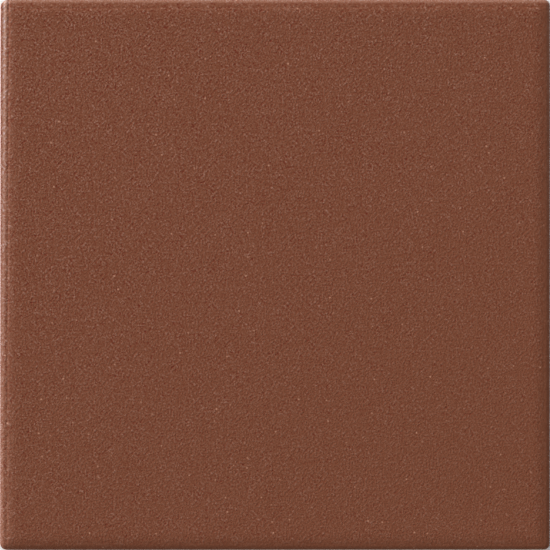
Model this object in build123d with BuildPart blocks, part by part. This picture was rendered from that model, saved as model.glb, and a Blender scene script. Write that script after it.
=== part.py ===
"""Dry-pressed stoneware floor tile, one fired piece lying face up on its keyed back.

Millimetres. The back ribs lie on Z = 0, the wear face is at Z = THICKNESS, and the tile is
centred on the Z axis with its sides square to X and Y.
"""

import os
from math import cos, isclose, radians, sin, sqrt, tan

from build123d import *

# Body
SIDE = 150.0  # square, side wall to side wall
THICKNESS = 11.0  # back ribs to wear face

# Pressed edge of the wear face, from the side wall inwards
ARRIS_RADIUS = 1.2  # round between the side wall and the shoulder
CORNER_EXTRA = 0.4  # upright corners are this much larger than the arris that turns round them
SHOULDER_LAND = 0.15  # straight part of the shoulder between its two rounds
SHOULDER_SLOPE = 8.0  # degrees that the shoulder falls
SHOULDER_EASE = 26.0  # radius that blends the flat face into the shoulder
MITRE_RADIUS = 4.0  # softens the diagonal line where two shoulders meet
CUT_CLEARANCE = 2.0  # how far the shoulder cut runs out past the side wall and the face

# Edge of the back
BACK_CHAMFER = 0.8

# Keyed back: a waffle of drafted cells that the bedding mortar fills
BACK_MARGIN = 6.0  # plain rim, side wall to the first cell
RIB_WIDTH = 2.4  # between the mouths of two cells
CELL_TARGET = 11.5  # wanted mouth of a cell, before an even number is fitted in
CELL_DEPTH = 1.0
CELL_DRAFT = 25.0  # degrees that each cell wall leans, to leave the punch

# The shoulder is as wide as its two rounds and the land between them.
half_side = SIDE / 2
corner_radius = ARRIS_RADIUS + CORNER_EXTRA
slope = radians(SHOULDER_SLOPE)
arris_reach = ARRIS_RADIUS * tan(radians(90) / 2 - slope / 2) * cos(slope)
ease_reach = SHOULDER_EASE * tan(slope / 2)
shoulder_width = arris_reach + SHOULDER_LAND + ease_reach
shoulder_foot = THICKNESS - shoulder_width * tan(slope)

# The shoulder's line in section: flat face, ease, slope out through the side wall, waste above.
face_bend = half_side - shoulder_width
cut_end = half_side + CUT_CLEARANCE
cut_top = THICKNESS + CUT_CLEARANCE
ease_start = (face_bend - ease_reach, THICKNESS)
ease_end = (face_bend + ease_reach * cos(slope), THICKNESS - ease_reach * sin(slope))
slope_end = (cut_end, THICKNESS - (cut_end - face_bend) * tan(slope))

# The rim between side wall and shoulder is highest in the middle of each corner round.
corner_rise = corner_radius * (1 - 1 / sqrt(2)) * tan(slope)
rim_slack = corner_rise / 4

# An even number of cells, so that ribs and not a cell cross the middle of the back.
keyed_side = SIDE - 2 * BACK_MARGIN
cell_count = 2 * round((keyed_side + RIB_WIDTH) / (CELL_TARGET + RIB_WIDTH) / 2)
cell_pitch = (keyed_side + RIB_WIDTH) / cell_count
cell_mouth = cell_pitch - RIB_WIDTH


def on_a_diagonal(edge):
    """True for an edge whose middle is as far from X as from Y."""
    middle = edge.center()
    return isclose(abs(middle.X), abs(middle.Y), rel_tol=1e-4)


with BuildPart() as tile:
    # The die's straight walls with their four upright corners.
    with BuildSketch(Plane.XY) as die_wall:
        RectangleRounded(SIDE, SIDE, corner_radius)
    extrude(amount=THICKNESS)

    # The punch presses the same shoulder along each side, so two shoulders meet in a mitre.
    with BuildSketch(Plane.front, Plane.right, Plane.back, Plane.left) as shoulder_cut:
        with BuildLine() as shoulder_line:
            TangentArc(ease_start, ease_end, tangent=(1, 0))
            Line(ease_end, slope_end)
            Polyline(slope_end, (cut_end, cut_top), (ease_start[0], cut_top), ease_start)
        make_face()
    extrude(amount=SIDE, both=True, mode=Mode.SUBTRACT)

    # The straight part of each mitre is softened first, so that the arris can turn the corner.
    mitres = tile.edges().filter_by(GeomType.LINE).filter_by(on_a_diagonal)
    fillet(mitres, MITRE_RADIUS)
    rim_low = shoulder_foot - rim_slack
    rim_high = shoulder_foot + corner_rise + rim_slack
    rim = tile.edges().filter_by_position(Axis.Z, rim_low, rim_high)
    fillet(rim, ARRIS_RADIUS)

    # The back edge is bevelled before the cells are cut, which add edges of their own.
    back_line = tile.faces().sort_by(Axis.Z)[0].edges()
    chamfer(back_line, BACK_CHAMFER)

    # Straight grooves milled across the punch give the ribs, so the cells have crisp corners.
    with BuildSketch(Plane.XY) as cells:
        with GridLocations(cell_pitch, cell_pitch, cell_count, cell_count):
            Rectangle(cell_mouth, cell_mouth)
    extrude(amount=CELL_DEPTH, taper=CELL_DRAFT, mode=Mode.SUBTRACT)

tile.part.label = "tile"

os.makedirs("parts", exist_ok=True)
export_step(tile.part, "parts/tile.step")
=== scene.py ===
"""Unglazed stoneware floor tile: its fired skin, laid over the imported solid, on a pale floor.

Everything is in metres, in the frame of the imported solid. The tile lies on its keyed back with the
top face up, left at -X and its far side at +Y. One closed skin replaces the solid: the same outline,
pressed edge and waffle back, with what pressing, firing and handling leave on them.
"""

import math

import bpy
import numpy as np
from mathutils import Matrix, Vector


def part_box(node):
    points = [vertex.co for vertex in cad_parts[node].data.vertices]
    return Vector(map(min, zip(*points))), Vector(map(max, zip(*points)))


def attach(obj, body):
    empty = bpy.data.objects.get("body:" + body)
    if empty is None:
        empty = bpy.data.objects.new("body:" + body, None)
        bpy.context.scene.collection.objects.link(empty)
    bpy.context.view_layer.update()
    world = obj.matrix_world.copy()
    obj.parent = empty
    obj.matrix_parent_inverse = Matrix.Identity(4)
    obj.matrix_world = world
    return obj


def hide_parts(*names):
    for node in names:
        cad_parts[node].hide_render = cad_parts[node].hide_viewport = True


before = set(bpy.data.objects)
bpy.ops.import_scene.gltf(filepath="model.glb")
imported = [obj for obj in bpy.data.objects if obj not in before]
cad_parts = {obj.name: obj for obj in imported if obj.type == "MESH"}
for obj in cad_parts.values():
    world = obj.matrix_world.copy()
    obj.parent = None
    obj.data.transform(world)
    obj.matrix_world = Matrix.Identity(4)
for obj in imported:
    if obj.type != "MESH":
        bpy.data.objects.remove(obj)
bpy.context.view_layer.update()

MM = 0.001

# Pressed edge of the solid's wear face
ARRIS_RADIUS = 1.2 * MM
SHOULDER_LAND = 0.15 * MM
SHOULDER_SLOPE = math.radians(8.0)
SHOULDER_EASE = 26.0 * MM
MITRE_WIDTH = 0.8 * MM  # over which two shoulders blend where they meet

# Keyed back of the solid
BACK_CHAMFER = 0.8 * MM
BACK_MARGIN = 6.0 * MM
RIB_WIDTH = 2.4 * MM
CELL_COUNT = 10
CELL_DEPTH = 1.0 * MM
CELL_DRAFT = math.radians(25.0)
CELL_SOFTNESS = 0.18 * MM  # how far a cell's wall is evened out past both its ends

# Upright corners: as on the solid at the right, worn rounder at the left
RIGHT_CORNER = 1.6 * MM
FAR_LEFT_CORNER = 2.05 * MM
NEAR_LEFT_CORNER = 1.85 * MM

# Firing draws three corners in a little, so the tile isn't quite square
CORNER_DRAWS = {
    "far_left": (0.187 * MM, 0.0),
    "far_right": (-0.055 * MM, 0.0),
    "near_right": (-0.11 * MM, 0.115 * MM),
}

box_low, box_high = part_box("tile")
HALF = (box_high[0] - box_low[0]) / 2
TOP = box_high[2]

# Lines of the pressed edge, as distances inwards from the side wall
ARRIS_REACH = ARRIS_RADIUS * (1 - math.sin(SHOULDER_SLOPE))
EASE_TANGENT = SHOULDER_EASE * math.tan(SHOULDER_SLOPE / 2)
FACE_BEND = ARRIS_REACH + SHOULDER_LAND + EASE_TANGENT
SHOULDER_END = FACE_BEND + EASE_TANGENT

# How finely the skin is divided
FACE_CELLS = 200
ARRIS_STEPS = 9
SHOULDER_STEPS = 24
CELL_FLOOR_STEPS = 4
WALL_STEPS = 4
WALL_END = 0.35  # the wall's lowest ring, as a share of the way up from the back's bevel
BACK_RIM_INSETS = (0.0, 0.35, 0.7, 0.9, 1.6, 3.0, 4.6)  # in millimetres

# Numbers of the skin's three finishes
FACE_FINISH = 0
WALL_FINISH = 1
BACK_FINISH = 2

# Relief of the fired face, all of it below the solid's face: pitch and height of each set of waves, then
# how many pits and nicks there are, their radii and depths, and how much of the half side they lie over
WAVES = ((6.4 * MM, 0.016 * MM), (3.2 * MM, 0.013 * MM), (1.6 * MM, 0.010 * MM))
PIT_COUNT = 46
PIT_RADII = (0.5 * MM, 0.9 * MM)
PIT_DEPTHS = (0.02 * MM, 0.07 * MM)
PIT_SCATTER = 0.97
NICK_COUNT = 60
NICK_INSET = 0.8 * MM
NICK_RADII = (0.4 * MM, 1.0 * MM)
NICK_DEPTHS = (0.01 * MM, 0.05 * MM)
NICK_SCATTER = 0.98
SEED = 7

# Square lattice of a random field: its reach in half sides, and the spare points past it
LATTICE_REACH = 1.05
LATTICE_SPARE = 4

# Left arris rubbed down in handling: depth and inset at the side's low end, then at its high end
LEFT_RUB = ((0.04 * MM, 0.55 * MM), (0.26 * MM, 0.84 * MM))
RUB_REACH = 0.47 * MM

# Painted highlight: lines along the sides that face the lamps, the arrises and the left press line, painted
# paler
# to stand in for their sheen: side, strength and inset at both its ends, and reach across
ARRIS_HIGHLIGHTS = [
    ("left", (0.15, 0.40 * MM), (0.76, 1.14 * MM), 0.48 * MM),
    ("left", (0.055, 2.20 * MM), (0.075, 2.50 * MM), 1.40 * MM),
    ("far", (0.20, 0.50 * MM), (0.20, 0.50 * MM), 0.34 * MM),
    ("right", (0.03, 0.45 * MM), (0.15, 0.45 * MM), 0.40 * MM),
]

# Grain on the shoulders, which the punch presses denser: how much weaker it is there than on the face,
# and how far in from the side that reaches. The rubbed left side is grainier instead.
SHOULDER_GRAIN = {
    "left": (-0.15, 3.0 * MM),
    "far": (0.28, 2.6 * MM),
    "right": (0.58, 3.6 * MM),
    "near": (0.52, 3.6 * MM),
}
GRAIN_CHANGE = 0.2  # share of that reach at which the grain starts to change towards the face's

# Sides that roll off more than the solid's: depth and reach at both ends of a side
ROLLS = {
    "left": ((0.09 * MM, 6.5 * MM), (0.09 * MM, 6.5 * MM)),
    "near": ((0.22 * MM, 1.7 * MM), (0.0, 1.7 * MM)),
}

# Fine line that the punch's edge leaves on the shoulder: strength and inset at both ends of a side
PRESS_LINES = {
    "left": ((0.72, 1.86 * MM), (1.36, 2.22 * MM)),
    "far": ((0.50, 2.40 * MM), (0.42, 2.00 * MM)),
    "right": ((0.12, 1.60 * MM), (0.05, 1.90 * MM)),
    "near": ((0.20, 1.90 * MM), (0.20, 1.45 * MM)),
}
LINE_WIDTH = 0.24 * MM
LINE_GROOVE = 0.052 * MM
LINE_STEP = 0.098 * MM
LINE_RISE = 0.576 * MM

# How that line comes and goes: pitch of its random field, values between which it grows, its least
# strength and what it grows by, and the shares of its step that stay and that come and go
LINE_BREAK = 1.1 * MM
LINE_FIELD = (0.3, 0.7)
LINE_LEAST = 0.1
LINE_GROWTH = 1.8
STEP_STEADY = 0.8
STEP_BROKEN = 0.2

# Noises of the clay: cells to a metre, detail, and roughness of that detail. The fine noise has 20 cells
# in the tile's thickness, so a plane of its lattice lies at the wear face, and there it has no broad blots.
FINE_NOISE = (1818.18, 1.0, 0.55)
BROAD_NOISE = (620.0, 1.0, 0.5)
PATCH_NOISE = (260.0, 1.0, 0.5)
MOTTLE_NOISE = (55.0, 3.0, 0.6)
DRAG_NOISE = (900.0, 2.0, 0.6)
DUST_NOISE = (130.0, 4.0, 0.65)
NOISE_MIDDLE = (0.3, 0.7)  # where most values of a noise lie

# Fired clay: colours of its body, of its palest and darkest grains and of its mineral specks, then its finish
CLAY_BODY = (0.1662, 0.0495, 0.0203, 1)
CLAY_PALE = (0.308, 0.1500, 0.1065, 1)
CLAY_DARK = (0.114, 0.0094, 0.0, 1)
CLAY_SPECK = (0.40, 0.19, 0.12, 1)
CLAY_ROUGHNESS = (0.84, 0.89)
CLAY_SHINE = 0.30

# Tone of the grains: how far each pattern moves it, and where it reaches the dark and the pale colour
GRAIN_TURN = math.radians(45.0)
MOSAIC_SCALE = 3200.0
FINE_TONE = 1.08
MOSAIC_TONE = 0.40
BROAD_TONE = 0.11
DARK_TONE = -1.12
PALE_TONE = 1.5

# Strength of the grains: from the far left corner, nearest the lamps, to the near right one, as X - Y goes
# from less to more than this reach, which paints the stronger raking light there as stronger grain contrast;
# and from patch to patch. Then the stretch of a weak tone and of a strong one.
CORNER_REACH = 0.13
PAINTED_LIGHT_STRENGTHS = (1.25, 0.77)
PATCH_STRENGTHS = (0.80, 1.20)
STRONG_TONE = 1.2
TONE_STRETCHES = (0.70, 1.95)

# Mineral specks: cells to a metre, values of a cell that give it a speck, and radii of the speck's soft rim
SPECK_SCALE = 330.0
SPECK_CHOICE = (0.18, 0.76)
SPECK_RIM = (0.11, 0.05)

# Wear face: depth of its grains, and its painted highlight, which is an even pale colour by one share and its
# own grains brightened by the other
FACE_GRAIN_DEPTH = 0.16 * MM
HIGHLIGHT_COLOR = (0.370, 0.230, 0.178, 1)
HIGHLIGHT_BRIGHTENING = (2.15, 4.3, 7.4, 1)
HIGHLIGHT_EVENNESS = 0.5

# Side wall: depth and strength of its grains, and its upright drag marks
WALL_GRAIN_DEPTH = 0.07 * MM
WALL_GRAIN = 0.65
DRAG_STRETCH = (1.0, 1.0, 0.05)
DRAG_MARKS = (0.52, 0.72)
DRAG_COLOR = (0.115, 0.036, 0.016, 1)
DRAG_SHARE = 0.45
DRAG_DEPTH = 0.06 * MM

# Back: depth of its grains, and the dust in its cells, with how much of it lies on the ribs
BACK_GRAIN_DEPTH = 0.16 * MM
DUST_HEIGHTS = (0.2 * MM, 1.0 * MM)
DUST_ON_RIBS = 0.25
DUST_DRIFTS = (0.42, 0.66)
DUST_COLOR = (0.40, 0.24, 0.165, 1)
DUST_SHARE = 0.5
DUST_ROUGHNESS = (0.84, 0.95)

# Floor
FLOOR_REACH = 4.0
FLOOR_COLOR = (0.92, 0.92, 0.92, 1)
FLOOR_ROUGHNESS = 0.9

# Straight-down camera: the tile fills the square picture
PICTURE_PIXELS = 550
TILE_PIXELS = 550.1
TILE_RAISED_PIXELS = 0.15
TILE_RIGHT_PIXELS = 0.01
CAMERA_HEIGHT = 2.0
CAMERA_REACH = 10.0
SENSOR = 36.0

# Light: a bank of three broad low lamps from the left round to the far side, a weak card on the right
# and an even pale surround. Each lamp has a compass angle, its share of the light on a level face and
# its distance. Its size is a share of that distance.
LAMPS = {
    "left_lamp": (180.0, 0.275, 7.0),
    "corner_lamp": (135.0, 0.28, 3.6),
    "far_lamp": (90.0, 0.15, 2.4),
    "right_card": (0.0, 0.035, 3.6),
}
LAMP_ZENITH = math.radians(72.0)
LAMP_SPREAD = 0.3
SURROUND_SHARE = 0.25


def smooth_step(value, low, high):
    """Rises from 0 at low to 1 at high by 3t^2 - 2t^3."""
    t = np.clip((value - low) / (high - low), 0, 1)
    return t * t * (3 - 2 * t)


def bell(value, centre, reach):
    """A bell of height 1: exp(-((value - centre) / reach)^2)."""
    return np.exp(-(((value - centre) / reach) ** 2))


def corner_radius(x, y):
    """Radius of the upright corner in the quarter of the tile that a place lies in."""
    left = np.where(y > 0, FAR_LEFT_CORNER, NEAR_LEFT_CORNER)
    return np.where(x > 0, RIGHT_CORNER, left)


def outline_inset(x, y):
    """Distance inwards from the rounded square outline: to a side, or to a corner's arc."""
    radius = corner_radius(x, y)
    over_x = np.abs(x) - (HALF - radius)
    over_y = np.abs(y) - (HALF - radius)
    beyond = np.hypot(np.clip(over_x, 0, None), np.clip(over_y, 0, None))
    within = np.minimum(np.maximum(over_x, over_y), 0)
    return radius - beyond - within


def shoulder_inset(x, y):
    """Distance inwards from the nearest side line, blended over the mitre where two sides are as near."""
    from_x = HALF - np.abs(x)
    from_y = HALF - np.abs(y)
    shared = np.clip(MITRE_WIDTH - np.abs(from_x - from_y), 0, None)
    return np.minimum(from_x, from_y) - shared**2 / (4 * MITRE_WIDTH)


def side_places(x, y):
    """For each side, the distance inwards from it, and the share of the way along it from its low end."""
    along_x = (x + HALF) / (2 * HALF)
    along_y = (y + HALF) / (2 * HALF)
    return {
        "left": (HALF + x, along_y),
        "right": (HALF - x, along_y),
        "far": (HALF - y, along_x),
        "near": (HALF + y, along_x),
    }


def between(ends, share):
    """Pair of values in a straight run from a side's low end to its high end."""
    (first_low, second_low), (first_high, second_high) = ends
    return first_low + (first_high - first_low) * share, second_low + (second_high - second_low) * share


def shoulder_drop(inset):
    """Depth of the shoulder below the flat face: a straight slope, then an arc that eases into the face."""
    slope = math.tan(SHOULDER_SLOPE)
    ease_end = SHOULDER_END - SHOULDER_EASE * math.sin(SHOULDER_SLOPE)
    straight = (FACE_BEND - inset) * slope
    into_ease = np.clip(SHOULDER_END - inset, 0, SHOULDER_EASE)
    ease = SHOULDER_EASE - np.sqrt(SHOULDER_EASE**2 - into_ease**2)
    return np.where(inset < ease_end, straight, ease)


def arris_drop(inset):
    """Depth of the arris below the shoulder's slope: a quarter round that touches the wall and the slope."""
    slope = math.tan(SHOULDER_SLOPE)
    centre = (FACE_BEND - ARRIS_RADIUS) * slope + ARRIS_RADIUS / math.cos(SHOULDER_SLOPE)
    across = np.clip(ARRIS_RADIUS - inset, 0, ARRIS_RADIUS)
    quarter_round = centre - np.sqrt(ARRIS_RADIUS**2 - across**2)
    return np.where(inset < ARRIS_REACH, quarter_round - (FACE_BEND - inset) * slope, 0.0)


def pressed_drop(x, y):
    """Depth of the pressed edge below the flat face: shoulder along each side, arris round the outline."""
    return shoulder_drop(shoulder_inset(x, y)) + arris_drop(outline_inset(x, y))


def lattice_noise(x, y, pitch, rng):
    """Smooth random field from 0 to 1: values on a square lattice, blended by 6t^5 - 15t^4 + 10t^3."""
    reach = LATTICE_REACH * HALF
    count = int(2 * reach / pitch) + LATTICE_SPARE
    values = rng.random((count, count))
    u = (x + reach) / pitch
    v = (y + reach) / pitch
    i = np.floor(u).astype(int)
    j = np.floor(v).astype(int)
    s = u - i
    t = v - j
    s = s**3 * (s * (6 * s - 15) + 10)
    t = t**3 * (t * (6 * t - 15) + 10)
    low = values[i, j] * (1 - s) + values[i + 1, j] * s
    high = values[i, j + 1] * (1 - s) + values[i + 1, j + 1] * s
    return low * (1 - t) + high * t


def dents(x, y, centres, radii, depths):
    """Sum of bell-shaped hollows: depth * exp(-(distance / radius)^2) about each centre."""
    total = np.zeros_like(x)
    for (cx, cy), radius, depth in zip(centres, radii, depths):
        total += depth * bell(np.hypot(x - cx, y - cy), 0.0, radius)
    return total


def pits(x, y, rng):
    """Shallow hollows scattered over the face."""
    reach = PIT_SCATTER * HALF
    centres = rng.uniform(-reach, reach, (PIT_COUNT, 2))
    radii = rng.uniform(*PIT_RADII, PIT_COUNT)
    depths = rng.uniform(*PIT_DEPTHS, PIT_COUNT)
    return dents(x, y, centres, radii, depths)


def nicks(x, y, rng):
    """Small hollows in the arris, scattered round the four sides."""
    reach = NICK_SCATTER * HALF
    along = rng.uniform(-reach, reach, NICK_COUNT)
    side = rng.integers(0, 4, NICK_COUNT)
    off = HALF - rng.uniform(0.0, NICK_INSET, NICK_COUNT)
    nick_x = np.select([side == 0, side == 1, side == 2], [along, along, off], -off)
    nick_y = np.select([side == 0, side == 1, side == 2], [off, -off, along], along)
    radii = rng.uniform(*NICK_RADII, NICK_COUNT)
    depths = rng.uniform(*NICK_DEPTHS, NICK_COUNT)
    return dents(x, y, np.stack([nick_x, nick_y], 1), radii, depths)


def arris_rub(x, y):
    """Depth rubbed off the left arris: a bell across it that changes from end to end."""
    inset, share = side_places(x, y)["left"]
    full, centre = between(LEFT_RUB, share)
    return full * bell(inset, centre, RUB_REACH)


def arris_wear(x, y):
    """Painted highlight along the lit arrises and press line, 0 to 1: along each such line, a bell across it.

    The line runs straight along the side, and its strength changes by the square of the way.
    """
    places = side_places(x, y)
    wear = np.zeros_like(x)
    for side, low_end, high_end, reach in ARRIS_HIGHLIGHTS:
        inset, share = places[side]
        strength, _ = between((low_end, high_end), share**2)
        _, line = between((low_end, high_end), share)
        wear += strength * bell(inset, line, reach)
    return wear


def grain_strength(x, y):
    """How strong the grain is, 1 on the face: a smooth step along each side to the shoulder's own."""
    places = side_places(x, y)
    strength = np.ones_like(x)
    for side, (loss, reach) in SHOULDER_GRAIN.items():
        inset, _ = places[side]
        strength *= 1 - loss * (1 - smooth_step(inset, GRAIN_CHANGE * reach, reach))
    return strength


def side_roll(x, y):
    """Depth of the extra roll-off: along each such side, a smooth step down towards the wall."""
    places = side_places(x, y)
    depth = np.zeros_like(x)
    for side, ends in ROLLS.items():
        inset, share = places[side]
        full, reach = between(ends, share)
        depth += full * (1 - smooth_step(inset, 0.0, reach))
    return depth


def press_line(x, y, rng):
    """Depth of the punch's line: along each side, a fine groove and then a small step up to the face.

    A random field makes it come and go along the side.
    """
    places = side_places(x, y)
    field = lattice_noise(x, y, LINE_BREAK, rng)
    broken = LINE_LEAST + LINE_GROWTH * smooth_step(field, *LINE_FIELD)
    depth = np.zeros_like(x)
    for side, ends in PRESS_LINES.items():
        inset, share = places[side]
        strength, line = between(ends, share)
        groove = LINE_GROOVE * bell(inset, line, LINE_WIDTH)
        step = LINE_STEP * (1 - smooth_step(inset, line, line + LINE_RISE))
        depth += strength * (broken * groove + (STEP_STEADY + STEP_BROKEN * broken) * step)
    return depth


def face_relief(x, y):
    """Depth of the fired skin below the pressed shape: waves, pits, nicks, rub, roll-off and press line."""
    rng = np.random.default_rng(SEED)
    relief = np.zeros_like(x)
    for pitch, height in WAVES:
        relief += height * lattice_noise(x, y, pitch, rng)
    relief += pits(x, y, rng)
    relief += nicks(x, y, rng)
    relief += arris_rub(x, y)
    relief += side_roll(x, y)
    return relief + press_line(x, y, rng)


def face_height(x, y):
    """Height of the fired top face above the floor."""
    return TOP - pressed_drop(x, y) - face_relief(x, y)


def mirrored(insets):
    """Grid lines across the tile from distances inwards: the same on the left and the right."""
    right = HALF - np.asarray(insets)
    return np.concatenate([-right, right[::-1]])


def face_lines():
    """Grid lines across the face: by equal turns over the arris, then the shoulder, then evenly."""
    turn = np.linspace(math.pi / 2, SHOULDER_SLOPE, ARRIS_STEPS + 1)
    arris = ARRIS_RADIUS * (1 - np.sin(turn))
    shoulder = np.linspace(ARRIS_REACH, SHOULDER_END, SHOULDER_STEPS + 1)[1:]
    edges = mirrored(np.concatenate([arris, shoulder]))
    inner = np.linspace(-HALF + SHOULDER_END, HALF - SHOULDER_END, FACE_CELLS + 1)[1:-1]
    return np.sort(np.concatenate([edges, inner]))


def cell_layout():
    """Pitch and mouth of the back's cells, and the width of a cell's leaning wall in plan.

    The cells share what the margin and the ribs between them leave of the side.
    """
    keyed = 2 * (HALF - BACK_MARGIN)
    pitch = (keyed + RIB_WIDTH) / CELL_COUNT
    return pitch, pitch - RIB_WIDTH, CELL_DEPTH * math.tan(CELL_DRAFT)


def back_lines():
    """Grid lines across the back: the bevel, the plain rim, then each cell's mouth, walls and floor."""
    pitch, mouth, wall = cell_layout()
    half_mouth = mouth / 2
    cell_floor = half_mouth - wall - CELL_SOFTNESS
    right = np.array([
        half_mouth + CELL_SOFTNESS,
        half_mouth - CELL_SOFTNESS,
        half_mouth - wall + CELL_SOFTNESS,
        cell_floor,
    ])
    middle = np.linspace(-cell_floor, cell_floor, CELL_FLOOR_STEPS + 1)[1:-1]
    across = np.concatenate([-right, middle, right])
    centres = (np.arange(CELL_COUNT) - (CELL_COUNT - 1) / 2) * pitch
    cells = (centres[:, None] + across[None, :]).ravel()
    ribs = (centres[:-1] + centres[1:]) / 2
    rim = mirrored(np.array(BACK_RIM_INSETS) * MM)
    return np.sort(np.concatenate([cells, ribs, rim]))


def back_height(x, y):
    """Height of the back above the floor: the bevelled edge, and the cells between the ribs.

    A cell's wall rises from its mouth to its floor, evened out at both ends by a smooth step.
    """
    pitch, mouth, wall = cell_layout()
    first = -(CELL_COUNT - 1) / 2 * pitch
    column = np.clip(np.round((x - first) / pitch), 0, CELL_COUNT - 1)
    row = np.clip(np.round((y - first) / pitch), 0, CELL_COUNT - 1)
    off_x = np.abs(x - first - column * pitch)
    off_y = np.abs(y - first - row * pitch)
    from_mouth = mouth / 2 - np.maximum(off_x, off_y)
    bevel = np.clip(BACK_CHAMFER - outline_inset(x, y), 0, None)
    return bevel + CELL_DEPTH * smooth_step(from_mouth, -CELL_SOFTNESS, wall + CELL_SOFTNESS)


def round_corners(x, y):
    """Draws a square grid in at its corners: each corner square of the grid becomes a quarter disc.

    With u and v from 0 to 1 across the corner square, u becomes u * sqrt(1 - v * v / 2), and v alike.
    """
    radius = corner_radius(x, y)
    start = HALF - radius
    u = np.clip((np.abs(x) - start) / radius, 0, 1)
    v = np.clip((np.abs(y) - start) / radius, 0, 1)
    new_x = np.minimum(np.abs(x), start) + radius * u * np.sqrt(1 - v * v / 2)
    new_y = np.minimum(np.abs(y), start) + radius * v * np.sqrt(1 - u * u / 2)
    return np.sign(x) * new_x, np.sign(y) * new_y


def draw_corners_in(x, y):
    """Moves corners in as firing does: each place moves by its bilinear share of their shifts."""
    along_x = (x + HALF) / (2 * HALF)
    along_y = (y + HALF) / (2 * HALF)
    shares = {
        "far_left": (1 - along_x) * along_y,
        "far_right": along_x * along_y,
        "near_right": along_x * (1 - along_y),
    }
    new_x = x + sum(shares[corner] * draw[0] for corner, draw in CORNER_DRAWS.items())
    new_y = y + sum(shares[corner] * draw[1] for corner, draw in CORNER_DRAWS.items())
    return new_x, new_y


def sheet(lines, height):
    """Grid over the rounded square, as points with their height and as its plan before the draw-in."""
    x, y = np.meshgrid(lines, lines, indexing="ij")
    x, y = round_corners(x, y)
    new_x, new_y = draw_corners_in(x, y)
    return np.stack([new_x, new_y, height(x, y)], -1), np.stack([x, y], -1)


def sheet_faces(numbers, upwards):
    """Squares between neighbouring points of a grid, wound to look up or down."""
    corners = [numbers[:-1, :-1], numbers[1:, :-1], numbers[1:, 1:], numbers[:-1, 1:]]
    faces = np.stack(corners, -1).reshape(-1, 4)
    return faces if upwards else faces[:, ::-1]


def rim_of(grid):
    """A grid's outer entries, once round, anticlockwise from above, starting at the low corner."""
    return np.concatenate([grid[:-1, 0], grid[-1, :-1], grid[:0:-1, -1], grid[0, :0:-1]])


def ring_faces(rings):
    """Squares between rings of equal count, from each ring to the one below it."""
    ahead = np.roll(rings, -1, axis=1)
    corners = [rings[:-1], rings[1:], ahead[1:], ahead[:-1]]
    return np.stack(corners, -1).reshape(-1, 4)


def rim_travel(plan):
    """How far round the rim each place is, as the angle about the centre from the low corner on."""
    angle = np.arctan2(plan[:, 1], plan[:, 0]) - np.arctan2(plan[0, 1], plan[0, 0])
    travel = np.mod(angle, 2 * math.pi)
    travel[0] = 0.0
    return travel


def zip_faces(upper, upper_travel, lower, lower_travel):
    """Triangles between two rings of unlike count: each edge goes to the nearest point of the other ring."""
    turn = 2 * math.pi
    upper_next = np.append(upper_travel[1:], upper_travel[0] + turn)
    lower_next = np.append(lower_travel[1:], lower_travel[0] + turn)
    upper_middle = (upper_travel + upper_next) / 2
    lower_middle = (lower_travel + lower_next) / 2
    near_lower = np.searchsorted(lower_middle, upper_middle, side="right") % len(lower)
    near_upper = np.searchsorted(upper_middle, lower_middle, side="left") % len(upper)
    from_upper = np.stack([upper, lower[near_lower], np.roll(upper, -1)], -1)
    from_lower = np.stack([lower, np.roll(lower, -1), upper[near_upper]], -1)
    return np.concatenate([from_upper, from_lower])


def tile_skin():
    """The whole fired skin: its points, its faces with the finish of each part, and its layers.

    A face sheet and a back sheet over the same outline, joined by rings down the side wall.
    """
    face, face_plan = sheet(face_lines(), face_height)
    back, back_plan = sheet(back_lines(), back_height)
    face_numbers = np.arange(face.shape[0] ** 2).reshape(face.shape[:2])
    back_numbers = np.arange(back.shape[0] ** 2).reshape(back.shape[:2]) + face_numbers.size

    rim_points = rim_of(face)
    heights = np.linspace(1.0, WALL_END, WALL_STEPS + 1)[1:]
    wall = np.repeat(rim_points[None], WALL_STEPS, axis=0)
    wall[:, :, 2] = BACK_CHAMFER + heights[:, None] * (rim_points[None, :, 2] - BACK_CHAMFER)
    wall_numbers = np.arange(wall.shape[0] * wall.shape[1]).reshape(wall.shape[:2])
    wall_numbers += face_numbers.size + back_numbers.size

    rings = np.concatenate([rim_of(face_numbers)[None], wall_numbers])
    back_rim = rim_of(back_numbers)
    foot = zip_faces(rings[-1], rim_travel(rim_of(face_plan)), back_rim, rim_travel(rim_of(back_plan)))
    parts = [
        (sheet_faces(face_numbers, True), FACE_FINISH),
        (ring_faces(rings), WALL_FINISH),
        (foot, WALL_FINISH),
        (sheet_faces(back_numbers, False), BACK_FINISH),
    ]
    points = np.concatenate([face.reshape(-1, 3), back.reshape(-1, 3), wall.reshape(-1, 3)])
    # The first layer is painted highlight along the arrises and the left press line that face the lamps
    layers = {"wear": np.zeros(len(points)), "grain": np.ones(len(points))}
    face_x, face_y = face_plan[..., 0], face_plan[..., 1]
    layers["wear"][: face_numbers.size] = arris_wear(face_x, face_y).ravel()
    layers["grain"][: face_numbers.size] = grain_strength(face_x, face_y).ravel()
    return points, parts, layers


def mesh_piece(name, points, parts, materials):
    """Puts points and faces into a smooth mesh object, with the material number of each part."""
    mesh = bpy.data.meshes.new(name)
    loops = np.concatenate([faces.ravel() for faces, _ in parts])
    sizes = np.concatenate([np.full(len(faces), faces.shape[1]) for faces, _ in parts])
    numbers = np.concatenate([np.full(len(faces), number) for faces, number in parts])
    mesh.vertices.add(len(points))
    mesh.vertices.foreach_set("co", points.ravel().astype(np.float32))
    mesh.loops.add(len(loops))
    mesh.loops.foreach_set("vertex_index", loops.astype(np.int32))
    mesh.polygons.add(len(sizes))
    mesh.polygons.foreach_set("loop_start", (np.cumsum(sizes) - sizes).astype(np.int32))
    mesh.polygons.foreach_set("material_index", numbers.astype(np.int32))
    mesh.polygons.foreach_set("use_smooth", np.ones(len(sizes), dtype=bool))
    mesh.update(calc_edges=True)
    mesh.validate()
    for material in materials:
        mesh.materials.append(material)
    piece = bpy.data.objects.new(name, mesh)
    bpy.context.scene.collection.objects.link(piece)
    return piece


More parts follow.
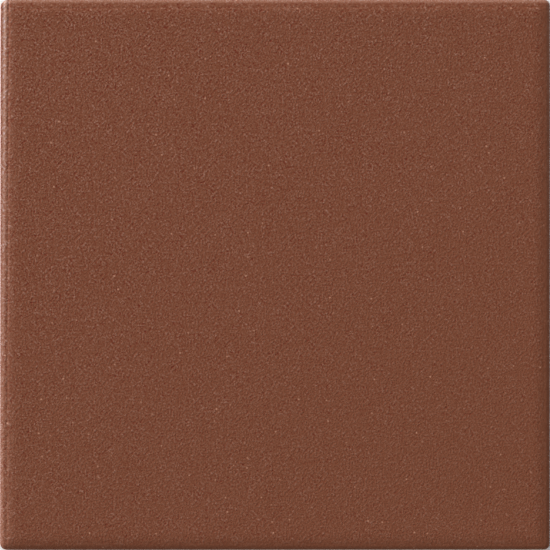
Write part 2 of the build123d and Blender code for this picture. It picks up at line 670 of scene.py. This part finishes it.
def place(tree, kind, inputs, **settings):
    """Adds a node, sets its settings, and sets or links each named input."""
    node = tree.nodes.new(kind)
    for name, value in settings.items():
        setattr(node, name, value)
    for name, value in inputs.items():
        if isinstance(value, bpy.types.NodeSocket):
            tree.links.new(value, node.inputs[name])
        else:
            node.inputs[name].default_value = value
    return node


def reckon(tree, operation, first, second=0.0):
    """One arithmetic step on one or two values."""
    return place(tree, "ShaderNodeMath", {0: first, 1: second}, operation=operation).outputs[0]


def spread(tree, value, low, high, to_low=0.0, to_high=1.0):
    """Stretches a value from one range to another and clips it there."""
    limits = {"Value": value, "From Min": low, "From Max": high, "To Min": to_low, "To Max": to_high}
    return place(tree, "ShaderNodeMapRange", limits).outputs["Result"]


def about_zero(tree, value, reach):
    """Spreads a value between 0 and 1 evenly about zero, as far as the reach each way."""
    return spread(tree, value, 0.0, 1.0, -reach, reach)


def noise(tree, vector, scale, detail, roughness):
    """Smooth noise from 0 to 1, about 1 / scale metres across."""
    inputs = {"Vector": vector, "Scale": scale, "Detail": detail, "Roughness": roughness}
    return place(tree, "ShaderNodeTexNoise", inputs).outputs["Fac"]


def blend(tree, share, first, second, kind="MIX"):
    """Mixes two colours by a share from 0 to 1, or multiplies them."""
    node = place(tree, "ShaderNodeMix", {}, data_type="RGBA", blend_type=kind)
    for name, value in (("Factor_Float", share), ("A_Color", first), ("B_Color", second)):
        socket = next(s for s in node.inputs if s.identifier == name)
        if isinstance(value, bpy.types.NodeSocket):
            tree.links.new(value, socket)
        else:
            socket.default_value = value
    return next(s for s in node.outputs if s.identifier == "Result_Color")


def new_group(name, inputs, outputs):
    """An empty node group with named sockets. Returns it with its input and output nodes."""
    group = bpy.data.node_groups.new(name, "ShaderNodeTree")
    for label, kind, value in inputs:
        socket = group.interface.new_socket(label, in_out="INPUT", socket_type=kind)
        if value is not None:
            socket.default_value = value
    for label, kind in outputs:
        group.interface.new_socket(label, in_out="OUTPUT", socket_type=kind)
    return group, group.nodes.new("NodeGroupInput"), group.nodes.new("NodeGroupOutput")


def fired_clay_group():
    """Colour, roughness and relief of the fired clay, all from the same grains.

    The tone is a fine noise, a mosaic of single grains and a weak broader noise, added up. Its strength
    falls from the far left corner to the near right one, painted light that stands in for the lamps' raking
    light being stronger on that side, and changes from patch to patch, and its extremes are stretched. High
    tone goes to the pale colour and low tone to the dark one. Sparse pale mineral specks lie on top.
    The fine noise is also the relief.
    """
    group, given, result = new_group(
        "fired_clay",
        [
            ("Vector", "NodeSocketVector", None),
            ("Body", "NodeSocketColor", CLAY_BODY),
            ("Pale", "NodeSocketColor", CLAY_PALE),
            ("Dark", "NodeSocketColor", CLAY_DARK),
            ("Speck", "NodeSocketColor", CLAY_SPECK),
            ("Depth", "NodeSocketFloat", None),
            ("Grain", "NodeSocketFloat", 1.0),
        ],
        [("Color", "NodeSocketColor"), ("Roughness", "NodeSocketFloat"), ("Height", "NodeSocketFloat")],
    )
    vector = given.outputs["Vector"]
    turn = {"Vector": vector, "Rotation": (0.0, 0.0, GRAIN_TURN)}
    turned = place(group, "ShaderNodeMapping", turn).outputs["Vector"]
    fine = noise(group, turned, *FINE_NOISE)
    mosaic = place(group, "ShaderNodeTexVoronoi", {"Vector": turned, "Scale": MOSAIC_SCALE})
    fine_tone = about_zero(group, fine, FINE_TONE)
    mosaic_tone = about_zero(group, mosaic.outputs["Color"], MOSAIC_TONE)
    broad_tone = about_zero(group, noise(group, vector, *BROAD_NOISE), BROAD_TONE)
    tone = reckon(group, "ADD", fine_tone, mosaic_tone)
    tone = reckon(group, "ADD", tone, broad_tone)

    axes = place(group, "ShaderNodeSeparateXYZ", {"Vector": vector})
    across = reckon(group, "SUBTRACT", axes.outputs["X"], axes.outputs["Y"])
    # Painted light: the grains' contrast is stronger towards the far left corner, where the lamps' raking
    # light is
    strength = spread(group, across, -CORNER_REACH, CORNER_REACH, *PAINTED_LIGHT_STRENGTHS)
    patches = spread(group, noise(group, vector, *PATCH_NOISE), *NOISE_MIDDLE, *PATCH_STRENGTHS)
    strength = reckon(group, "MULTIPLY", strength, given.outputs["Grain"])
    tone = reckon(group, "MULTIPLY", tone, reckon(group, "MULTIPLY", strength, patches))
    stretch = spread(group, reckon(group, "ABSOLUTE", tone), 0.0, STRONG_TONE, *TONE_STRETCHES)
    tone = reckon(group, "MULTIPLY", tone, stretch)
    darkness = spread(group, tone, 0.0, DARK_TONE)
    paleness = spread(group, tone, 0.0, PALE_TONE)
    color = blend(group, darkness, given.outputs["Body"], given.outputs["Dark"])
    color = blend(group, paleness, color, given.outputs["Pale"])

    specks = place(group, "ShaderNodeTexVoronoi", {"Vector": vector, "Scale": SPECK_SCALE})
    chosen = spread(group, specks.outputs["Color"], *SPECK_CHOICE)
    near = spread(group, specks.outputs["Distance"], *SPECK_RIM)
    color = blend(group, reckon(group, "MULTIPLY", chosen, near), color, given.outputs["Speck"])

    mottle = noise(group, vector, *MOTTLE_NOISE)
    roughness = spread(group, mottle, *NOISE_MIDDLE, *CLAY_ROUGHNESS)
    depth = reckon(group, "MULTIPLY", given.outputs["Depth"], given.outputs["Grain"])
    group.links.new(color, result.inputs["Color"])
    group.links.new(roughness, result.inputs["Roughness"])
    group.links.new(reckon(group, "MULTIPLY", fine, depth), result.inputs["Height"])
    return group


def clay_material(name, clay, depth):
    """Starts a fired-clay material. Returns it with its node tree, its place on the tile and its clay."""
    material = bpy.data.materials.new(name)
    material.use_nodes = True
    tree = material.node_tree
    tree.nodes.clear()
    on_tile = place(tree, "ShaderNodeTexCoord", {}).outputs["Object"]
    skin = place(tree, "ShaderNodeGroup", {}, node_tree=clay)
    tree.links.new(on_tile, skin.inputs["Vector"])
    skin.inputs["Depth"].default_value = depth
    return material, tree, on_tile, skin


def rough_surface(tree, color, roughness, height):
    """Ends a material: colour, roughness and relief into one rough surface."""
    bump = place(tree, "ShaderNodeBump", {"Height": height, "Distance": 1.0, "Strength": 1.0})
    inputs = {
        "Base Color": color,
        "Roughness": roughness,
        "Normal": bump.outputs["Normal"],
        "Specular IOR Level": CLAY_SHINE,
    }
    surface = place(tree, "ShaderNodeBsdfPrincipled", inputs)
    place(tree, "ShaderNodeOutputMaterial", {"Surface": surface.outputs["BSDF"]})


def pressed_face(clay):
    """Wear face: the bare clay, with painted highlight along its lit arrises and left press line, and
    smoother on its shoulders.
    """
    material, tree, _, skin = clay_material("pressed_face", clay, FACE_GRAIN_DEPTH)
    grain = place(tree, "ShaderNodeAttribute", {}, attribute_name="grain").outputs["Fac"]
    tree.links.new(grain, skin.inputs["Grain"])
    # Painted highlight: the clay is painted paler along the arrises and press line that face the lamps
    wear = place(tree, "ShaderNodeAttribute", {}, attribute_name="wear").outputs["Fac"]
    bare = skin.outputs["Color"]
    brightened = blend(tree, 1.0, bare, HIGHLIGHT_BRIGHTENING, "MULTIPLY")
    highlighted = blend(tree, HIGHLIGHT_EVENNESS, brightened, HIGHLIGHT_COLOR)
    color = blend(tree, wear, bare, highlighted)
    rough_surface(tree, color, skin.outputs["Roughness"], skin.outputs["Height"])
    return material


def die_wall(clay):
    """Side wall: smoother clay with upright drag marks, where the tile slid out of its die."""
    material, tree, on_tile, skin = clay_material("die_wall", clay, WALL_GRAIN_DEPTH)
    skin.inputs["Grain"].default_value = WALL_GRAIN
    upright = place(tree, "ShaderNodeMapping", {"Vector": on_tile, "Scale": DRAG_STRETCH})
    drag = noise(tree, upright.outputs["Vector"], *DRAG_NOISE)
    mark = spread(tree, drag, *DRAG_MARKS, 0.0, DRAG_SHARE)
    color = blend(tree, mark, skin.outputs["Color"], DRAG_COLOR)
    drag_height = reckon(tree, "MULTIPLY", drag, DRAG_DEPTH)
    height = reckon(tree, "ADD", drag_height, skin.outputs["Height"])
    rough_surface(tree, color, skin.outputs["Roughness"], height)
    return material


def keyed_back(clay):
    """Back: bare clay, with pale kiln dust lying in the cells."""
    material, tree, on_tile, skin = clay_material("keyed_back", clay, BACK_GRAIN_DEPTH)
    axes = place(tree, "ShaderNodeSeparateXYZ", {"Vector": on_tile})
    inside = spread(tree, axes.outputs["Z"], *DUST_HEIGHTS, DUST_ON_RIBS, 1.0)
    drift = spread(tree, noise(tree, on_tile, *DUST_NOISE), *DUST_DRIFTS)
    dust = reckon(tree, "MULTIPLY", inside, drift)
    color = blend(tree, reckon(tree, "MULTIPLY", dust, DUST_SHARE), skin.outputs["Color"], DUST_COLOR)
    roughness = spread(tree, dust, 0.0, 1.0, *DUST_ROUGHNESS)
    rough_surface(tree, color, roughness, skin.outputs["Height"])
    return material


def pale_floor():
    """A wide flat floor under the tile, matt and pale."""
    points = FLOOR_REACH * np.array([[-1, -1, 0], [1, -1, 0], [1, 1, 0], [-1, 1, 0]])
    material = bpy.data.materials.new("pale_floor")
    material.use_nodes = True
    surface = material.node_tree.nodes["Principled BSDF"]
    surface.inputs["Base Color"].default_value = FLOOR_COLOR
    surface.inputs["Roughness"].default_value = FLOOR_ROUGHNESS
    surface.inputs["Specular IOR Level"].default_value = 0.0
    floor = mesh_piece("floor", points, [(np.array([[0, 1, 2, 3]]), 0)], [material])


def overhead_camera():
    """A long lens straight above the tile, so that the tile's outline fills the square picture."""
    rim_height = TOP - float(pressed_drop(np.array(HALF), np.array(0.0)))
    span = 2 * HALF * PICTURE_PIXELS / TILE_PIXELS
    lens = bpy.data.cameras.new("overhead")
    lens.sensor_width = SENSOR
    lens.lens = SENSOR * (CAMERA_HEIGHT - rim_height) / span
    lens.clip_end = CAMERA_REACH
    camera = bpy.data.objects.new("overhead", lens)
    pixel = span / PICTURE_PIXELS
    camera.location = (-TILE_RIGHT_PIXELS * pixel, -TILE_RAISED_PIXELS * pixel, CAMERA_HEIGHT)
    bpy.context.scene.collection.objects.link(camera)
    bpy.context.scene.camera = camera


def studio_light():
    """The bank of low lamps, the card and the even surround, which together light a level face at about 1.

    A square lamp of power P puts P * cos(zenith) / (pi * distance^2) on a level face far away, and a
    white face is at 1 where that is pi.
    """
    for name, (compass, share, distance) in LAMPS.items():
        azimuth = math.radians(compass)
        light = bpy.data.lights.new(name, "AREA")
        light.shape = "SQUARE"
        light.size = LAMP_SPREAD * distance
        light.energy = share * math.pi**2 * distance**2 / math.cos(LAMP_ZENITH)
        lamp = bpy.data.objects.new(name, light)
        out = distance * math.sin(LAMP_ZENITH)
        up = distance * math.cos(LAMP_ZENITH)
        lamp.location = (out * math.cos(azimuth), out * math.sin(azimuth), up)
        lamp.rotation_euler = (LAMP_ZENITH, 0.0, azimuth + math.pi / 2)
        bpy.context.scene.collection.objects.link(lamp)

    world = bpy.data.worlds.new("surround")
    world.use_nodes = True
    tree = world.node_tree
    tree.nodes.clear()
    path = place(tree, "ShaderNodeLightPath", {})
    seen = reckon(tree, "MAXIMUM", path.outputs["Is Camera Ray"], path.outputs["Is Transmission Ray"])
    seen = reckon(tree, "MAXIMUM", seen, path.outputs["Is Glossy Ray"])
    strength = spread(tree, seen, 0.0, 1.0, SURROUND_SHARE, 1.0)
    back = place(tree, "ShaderNodeBackground", {"Color": (1, 1, 1, 1), "Strength": strength})
    place(tree, "ShaderNodeOutputWorld", {"Surface": back.outputs["Background"]})
    bpy.context.scene.world = world


# The finishes stand in the order of their numbers
fired_clay = fired_clay_group()
finishes = [pressed_face(fired_clay), die_wall(fired_clay), keyed_back(fired_clay)]

skin_points, skin_parts, skin_layers = tile_skin()
tile = mesh_piece("stoneware_tile", skin_points, skin_parts, finishes)
for layer_name, values in skin_layers.items():
    layer = tile.data.attributes.new(layer_name, "FLOAT", "POINT")
    layer.data.foreach_set("value", values.astype(np.float32))
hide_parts("tile")
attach(tile, "root")

pale_floor()
overhead_camera()
studio_light()
bpy.context.scene.view_settings.view_transform = "Standard"
